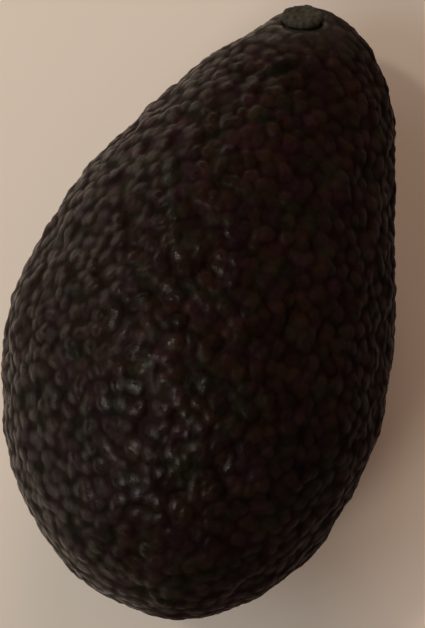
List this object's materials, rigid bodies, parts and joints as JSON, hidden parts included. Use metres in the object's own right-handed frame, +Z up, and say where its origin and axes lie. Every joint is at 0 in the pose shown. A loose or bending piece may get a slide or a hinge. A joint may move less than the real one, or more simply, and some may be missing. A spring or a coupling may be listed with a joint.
{
  "type": "avocado",
  "caption": "Whole ripe avocado with dark pebbly skin and a woody stem stub, lying on its side on a small flat spot.",
  "frame": {"origin": "on the surface that the fruit rests on, under the middle of its bounding box", "axes": "+Z up, +Y along the fruit to its stem end, +X to the right seen from above"},
  "size_m": [0.066, 0.1072, 0.0623],
  "materials": {
    "skin": "dark purplish brown-black pebbled skin with a waxy satin gloss",
    "stem": "dry grey-green woody stalk, matt"
  },
  "bodies": {
    "root": {"avocado_fruit": "skin", "stem_stub": "stem"}
  },
  "joints": []
}
